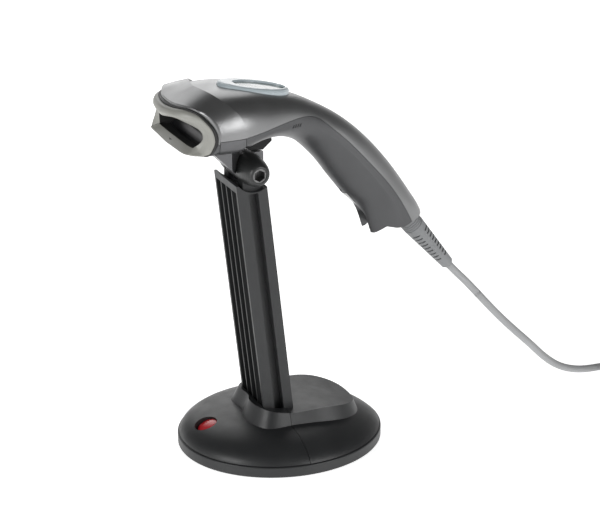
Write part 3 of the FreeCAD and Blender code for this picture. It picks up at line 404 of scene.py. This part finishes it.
def make_cables():
    upper_line = spline_line("upper_line", UPPER_ROUTE)
    upper = tube("cable_upper", upper_line, CORD_RADIUS, jacket_grey)
    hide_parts("cord_upper")
    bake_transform(upper)

    lower_line = spline_line("lower_line", LOWER_ROUTE + coil_route() + TAIL_ROUTE, 6)
    lower = tube("cable_lower", lower_line, CORD_RADIUS, jacket_grey)
    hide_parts("cord_lower", "cord_coil", "cord_tail")
    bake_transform(lower)


make_cables()


# ---------------------------------------------------------------- smooth rims and lofts
RIM_STEPS = 6                  # points from one key to the next
NOSE_CENTRE = mm(0, -60, 214)


def catmull(before, start, end, after, share):
    """A point on the smooth curve from start to end."""
    square, cube = share * share, share * share * share
    return (start * (2 - 5 * square + 3 * cube) + end * (share + 4 * square - 3 * cube)
            - before * (share - 2 * square + cube) - after * (square - cube)) * 0.5


def smooth_line(keys, steps):
    """Points on the smooth open curve through the keys."""
    ends = [keys[0] * 2 - keys[1]] + list(keys) + [keys[-1] * 2 - keys[-2]]
    line = []
    for i in range(1, len(ends) - 2):
        line += [catmull(*ends[i - 1:i + 3], k / steps) for k in range(steps)]
    return line + [keys[-1]]


def mirrored(point):
    """The same place on the head's other side."""
    return Vector((-point.x, point.y, point.z))


def nose_rim(near, far=None, steps=RIM_STEPS):
    """A closed loop: near's keys run from the top's middle to the bottom's, and far's back up."""
    keys = [mm(*key) for key in near]
    if far is None:
        keys += [mirrored(key) for key in reversed(keys[1:-1])]
    else:
        keys += [mm(*key) for key in far]
    count = len(keys)
    rim = []
    for i in range(count):
        around = [keys[(i + k) % count] for k in (-1, 0, 1, 2)]
        rim += [catmull(*around, k / steps) for k in range(steps)]
    return rim


def between_rims(first, second, share, swell):
    """A rim part of the way from one to the other, pushed out from the nose's centre by swell mm."""
    rim = []
    for a, b in zip(first, second):
        point = a.lerp(b, share)
        rim.append(point + (point - NOSE_CENTRE).normalized() * (swell * MM))
    return rim


def loft(name, rims, material, fill_last=False):
    """A skin through closed rims with equally many points; the last rim may be filled across."""
    count = len(rims[0])
    vertices = [point for rim in rims for point in rim]
    faces = []
    for i in range(len(rims) - 1):
        for k in range(count):
            a, b = i * count + k, i * count + (k + 1) % count
            faces.append((a, b, b + count, a + count))
    if fill_last:
        start = (len(rims) - 1) * count
        for k in range(count // 2):
            a, b = start + k, start + (k + 1)
            c, d = start + (count - k - 1) % count, start + (count - k) % count
            faces.append(tuple(dict.fromkeys((a, b, c, d))))
        faces = [face for face in faces if len(face) > 2]
    return new_object(name, vertices, faces, material)


def recalculate(piece):
    """Point every face of the piece outwards."""
    shape = bmesh.new()
    shape.from_mesh(piece.data)
    bmesh.ops.recalc_face_normals(shape, faces=shape.faces)
    shape.to_mesh(piece.data)
    shape.free()


# ---------------------------------------------------------------- nose
# Rims in millimetres, outermost first. A far half is given only where it differs from the near one.
PANE_SIDE = -24.5 * MM         # the pane ends here on the far side
HOUSING_RIM = [
    (0, -70.6, 229.8), (12, -69.2, 230.0), (21, -66.0, 230.7), (26.6, -61.6, 229.2),
    (31.0, -58.2, 226.2), (35.4, -54.2, 220.6), (36.8, -52.4, 213.6), (35.4, -53.6, 208.0),
    (32.6, -55.6, 204.2), (29, -60.0, 203.6), (0, -69.6, 205.6),
]
GASKET_RIM = [
    (0, -72.9, 229.2), (12, -71.4, 229.5), (21.5, -68.0, 230.1), (27.8, -63.0, 228.4),
    (32.0, -59.8, 225.4), (36.0, -56.0, 220.0), (36.9, -54.4, 213.5), (35.6, -55.6, 208.0),
    (33.0, -57.4, 204.3), (29.4, -63.0, 204.2), (0, -70.6, 205.7),
]
LIP_RIM = [
    (0, -76.2, 224.9), (12, -74.8, 225.3), (21, -71.8, 226.1), (27.5, -66.5, 225.6),
    (30.3, -61.8, 222.8), (32.2, -58.4, 218.3), (33.2, -57.8, 214.0), (32.2, -59.5, 210.0),
    (30.6, -62.9, 206.8), (29.0, -70.6, 205.5), (0, -71.4, 205.5),
]
LIP_RIM_FAR = [
    (-29.0, -70.6, 205.5), (-30.0, -70.3, 207.2), (-30.5, -69.2, 210.2), (-30.6, -67.9, 213.6),
    (-30.4, -67.0, 217.4), (-29.8, -66.8, 221.6), (-27.3, -67.8, 225.4), (-21, -71.8, 226.1),
    (-12, -74.8, 225.3),
]
PORT_RIM = [
    (0, -74.4, 222.2), (12, -70.6, 223.1), (21, -66.8, 222.0), (26.6, -62.4, 219.8),
    (28.6, -60.6, 218.2), (30.0, -59.8, 216.4), (30.8, -59.9, 213.9), (29.8, -61.3, 211.2),
    (28.3, -63.4, 209.3), (26.0, -65.8, 208.4), (0, -66.4, 208.3),
]
PORT_RIM_FAR = [
    (-25.6, -66.2, 208.3), (-26.0, -66.4, 209.4), (-26.0, -66.6, 211.4), (-25.9, -66.7, 213.9),
    (-25.7, -66.8, 216.4), (-25.3, -66.9, 218.4), (-24.2, -67.2, 220.2), (-20, -68.2, 221.9),
    (-12, -71.2, 222.7),
]
WINDOW_RIM = [
    (0, -62.4, 221.2), (12, -62.0, 221.6), (20, -60.8, 220.8), (25.2, -59.0, 218.8),
    (27.2, -58.0, 217.4), (28.4, -57.4, 215.8), (29.0, -57.2, 213.8), (28.0, -57.8, 211.4),
    (26.6, -58.8, 209.9), (24.4, -60.0, 209.0), (0, -62.0, 208.8),
]
CHEEK_STEPS = [(0.12, 0.4), (0.5, 0.9), (0.86, 0.5)]   # from seal to lip: share of the way, swell
ROLL_STEPS = [(0.22, 0.4), (0.6, 0.1), (0.93, 0.0)]    # from lip to opening


def make_nose():
    """The rubber seal, the light surround with its rolled lip, the dark tunnel and the pane."""
    housing, gasket_edge = nose_rim(HOUSING_RIM), nose_rim(GASKET_RIM)
    lip, port = nose_rim(LIP_RIM, LIP_RIM_FAR), nose_rim(PORT_RIM, PORT_RIM_FAR)
    window = [Vector((max(point.x, PANE_SIDE), point.y, point.z)) for point in nose_rim(WINDOW_RIM)]
    bead = between_rims(housing, gasket_edge, 0.55, 0.5)
    tucked = between_rims(gasket_edge, gasket_edge, 0, -2.2)
    gasket = loft("nose_seal", [housing, bead, gasket_edge, tucked], gasket_black)
    recalculate(gasket)

    root = [point + mm(0, 0.6, 0) for point in between_rims(gasket_edge, gasket_edge, 0, -0.9)]
    cheeks = [between_rims(gasket_edge, lip, share, swell) for share, swell in CHEEK_STEPS]
    rolls = [between_rims(lip, port, share, swell) for share, swell in ROLL_STEPS]
    bezel = loft("nose_surround", [root] + cheeks + [lip] + rolls + [port], nose_grey)
    recalculate(bezel)

    throat = [point.lerp(target, 0.35) for point, target in zip(port, window)]
    tunnel = loft("nose_tunnel", [port, throat, window], tunnel_black)
    recalculate(tunnel)
    pane = loft("window_pane", [between_rims(window, window, 0, -0.1)], window_dark, True)
    for piece, slot, replaced in ((gasket, "black_rubber", "nose_gasket"),
                                  (bezel, "nose_plastic", "nose_bezel"),
                                  (tunnel, "nose_plastic", None),
                                  (pane, "window_glass", "scan_window")):
        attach(piece, "scanner")
        if replaced:
            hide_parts(replaced)


make_nose()


# ---------------------------------------------------------------- hood over the front of the head
HOOD_REAR = [                  # its rear edge on the left half, from the middle of the top to the seam
    (0, -54.0, 234.8), (10, -52.4, 234.8), (18, -50.2, 234.4), (25, -47.2, 233.0),
    (29.5, -42.8, 230.2), (33.6, -38.2, 225.4), (36.0, -35.8, 219.5), (36.8, -35.3, 213.4),
]
HOOD_FRONT = [                 # its front edge over the nose, at the same places
    (0, -70.4, 230.2), (9, -69.8, 230.4), (17, -67.4, 231.0), (24, -63.4, 230.6),
    (29, -59.4, 228.2), (33.4, -55.8, 224.3), (36.6, -52.8, 218.6), (37.4, -51.6, 213.4),
]
HOOD_STEP = [3.0, 2.8, 2.4, 1.8, 1.2, 0.8, 0.6, 0.4]   # how far its rear edge stands proud, there
HOOD_RISE_NEAR = [0.3] * 8                             # and its front edge, near side and far side
HOOD_RISE_FAR = [0.3, 0.6, 1.4, 2.2, 1.8, 0.9, 0.4, 0.3]
HOOD_ROOT = 0.4 * MM           # how far its underside lies inside the shell
HOOD_ROWS = 22
HEAD_MIDDLE_Z = 214 * MM
SKIN_SEARCH = 20 * MM          # the ray starts this far outside the head


def whole_width(keys):
    """The smooth line over the whole head, from the right seam to the left one."""
    left = smooth_line([mm(*key) for key in keys], RIM_STEPS)
    return [mirrored(point) for point in reversed(left[1:])] + left


def across(far, near):
    """Heights in metres along the head's width, from the far seam to the near one."""
    halves = []
    for heights in (far, near):
        line = smooth_line([mm(height, 0, 0) for height in heights], RIM_STEPS)
        halves.append([point.x for point in line])
    return list(reversed(halves[0][1:])) + halves[1]


def outer_skin(tree, guess):
    """Where the head's outer surface is, seen from outside towards its middle at that station."""
    inward = (Vector((0, guess.y, HEAD_MIDDLE_Z)) - guess).normalized()
    place, normal, _, _ = tree.ray_cast(guess - inward * SKIN_SEARCH, inward)
    if place is None:
        return guess, -inward
    if normal.dot(inward) > 0:
        normal = -normal
    return place, normal


def make_hood():
    """A skin over the head's front that follows the shell and stands up at its rear edge."""
    tree = BVHTree.FromObject(nodes["top_shell"], bpy.context.evaluated_depsgraph_get())
    rear, front = whole_width(HOOD_REAR), whole_width(HOOD_FRONT)
    step_of = across(HOOD_STEP, HOOD_STEP)
    rise_of = across(HOOD_RISE_FAR, HOOD_RISE_NEAR)
    count = len(rear)
    outer, inner = [], []
    for row in range(HOOD_ROWS + 1):
        ahead = row / HOOD_ROWS
        for k in range(count):
            place, normal = outer_skin(tree, rear[k].lerp(front[k], ahead))
            fade = (1 - ahead) ** 1.5
            rise = rise_of[k] + (step_of[k] - rise_of[k]) * fade
            outer.append(place + normal * rise)
            inner.append(place - normal * HOOD_ROOT)
    total = len(outer)
    faces = []
    for row in range(HOOD_ROWS):
        for k in range(count - 1):
            a = row * count + k
            faces.append((a, a + 1, a + 1 + count, a + count))
            faces.append((total + a, total + a + count, total + a + 1 + count, total + a + 1))
    border = list(range(count))
    border += [row * count + count - 1 for row in range(1, HOOD_ROWS + 1)]
    border += [HOOD_ROWS * count + k for k in range(count - 2, -1, -1)]
    border += [row * count for row in range(HOOD_ROWS - 1, 0, -1)]
    for a, b in zip(border, border[1:] + border[:1]):
        faces.append((b, a, total + a, total + b))
    hood = new_object("head_hood", outer + inner, faces, graphite)
    recalculate(hood)
    hood.data.set_sharp_from_angle(angle=math.radians(50))
    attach(hood, "scanner")


make_hood()


# ---------------------------------------------------------------- badge and spring
BADGE_NORMAL = (0, -0.42, 0.9)
BADGE_SIDES = 48
BADGE_RINGS = [                # radius and height over the badge's middle, in millimetres
    (7.1, -0.6), (7.1, 0.55), (6.9, 0.8), (6.2, 1.15), (4.8, 1.5), (2.6, 1.75), (0.6, 1.8),
]
SPRING_TURNS = 4
SPRING_STEPS = 96
SPRING_WIRE = 0.25 * MM


def make_badge():
    """A domed resin disc over the badge's seat, plain."""
    low_corner, high_corner = (Vector(corner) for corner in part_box("badge"))
    centre = (low_corner + high_corner) / 2
    normal = Vector(BADGE_NORMAL).normalized()
    side = normal.orthogonal().normalized()
    other = normal.cross(side)
    angles = [2 * math.pi * k / BADGE_SIDES for k in range(BADGE_SIDES)]
    rims = []
    for radius, height in BADGE_RINGS:
        rims.append([centre + normal * (height * MM)
                     + (side * math.cos(angle) + other * math.sin(angle)) * (radius * MM)
                     for angle in angles])
    disc = loft("badge_dome", rims, badge_red, True)
    recalculate(disc)
    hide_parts("badge")
    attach(disc, "stand")


make_badge()


def make_spring():
    """The trigger's return spring: a steel wire helix in the hidden spring's place, riding with the
    scanner.
    """
    low_corner, high_corner = (Vector(corner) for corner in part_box("trigger_spring"))
    centre = (low_corner + high_corner) / 2
    radius = (high_corner.x - low_corner.x) / 2 - SPRING_WIRE
    rise = high_corner.z - low_corner.z - 2 * SPRING_WIRE
    line = []
    for step in range(SPRING_STEPS + 1):
        angle = 2 * math.pi * SPRING_TURNS * step / SPRING_STEPS
        line.append(Vector((centre.x + radius * math.cos(angle),
                            centre.y + radius * math.sin(angle),
                            low_corner.z + SPRING_WIRE + rise * step / SPRING_STEPS)))
    spring = tube("trigger_coil", line, SPRING_WIRE, bright_steel, 10)
    recalculate(spring)
    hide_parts("trigger_spring")
    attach(spring, "scanner")
    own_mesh(spring)


make_spring()


# ---------------------------------------------------------------- floor and light
FLOOR_HALF = 6.0
FLOOR_GAP = 0.2 * MM           # the floor lies this far under the base pad
FLOOR_GLOW = 0.8
SKY_BRIGHT, SKY_DIM = 0.9, 0.06
SKY_BRIGHT_BELOW, SKY_DIM_ABOVE = 0.05, 0.4            # as the height of the direction looked in
LIGHTS = [                     # name, place, what it is aimed at, side of the square, watts
    ("far_side", (-1.5, 0.35, 0.95), (0, -0.03, 0.22), 1.2, 8.0),
    ("near_right", (1.35, 0.75, 0.72), (0, 0, 0.2), 0.7, 9.0),
    ("front", (0.5, -1.4, 0.8), (0, 0, 0.14), 0.6, 10.0),
]


def make_floor():
    """A plain white floor that glows a little, so that it stays white to its edges."""
    made, tree, shader = new_material("floor_white")
    shade = between(tree, spread(tree, noise(tree, 3.0, 3.0), 0, 1), (0.86,) * 3, (0.89,) * 3)
    tree.links.new(shade, shader.inputs["Base Color"])
    shader.inputs["Roughness"].default_value = 0.35
    shader.inputs["Emission Color"].default_value = (1, 1, 1, 1)
    shader.inputs["Emission Strength"].default_value = FLOOR_GLOW
    corners = [(x * FLOOR_HALF, y * FLOOR_HALF, 0) for x, y in ((-1, -1), (1, -1), (1, 1), (-1, 1))]
    floor = new_object("floor", corners, [(0, 1, 2, 3)], made)
    floor.location.z = -FLOOR_GAP


def area_light(name, place, target, size, power):
    """A square soft light aimed at the target."""
    data = bpy.data.lights.new(name, "AREA")
    data.energy = power
    data.size = size
    light = bpy.data.objects.new(name, data)
    scene.collection.objects.link(light)
    light.location = place
    light.rotation_mode = "QUATERNION"
    light.rotation_quaternion = (Vector(target) - Vector(place)).to_track_quat("-Z", "Y")


def make_sky():
    """Bright all round near the horizon and dim overhead, as in a tent of white paper."""
    world = bpy.data.worlds.new("studio")
    world.use_nodes = True
    tree = world.node_tree
    place = tree.nodes.new("ShaderNodeTexCoord")
    split = tree.nodes.new("ShaderNodeSeparateXYZ")
    tree.links.new(place.outputs["Generated"], split.inputs["Vector"])
    background = tree.nodes["Background"]
    background.inputs["Color"].default_value = (1, 1, 1, 1)
    strength = spread(tree, split.outputs["Z"], SKY_BRIGHT, SKY_DIM, SKY_BRIGHT_BELOW, SKY_DIM_ABOVE)
    tree.links.new(strength, background.inputs["Strength"])
    scene.world = world


make_floor()
make_sky()
for light in LIGHTS:
    area_light(*light)
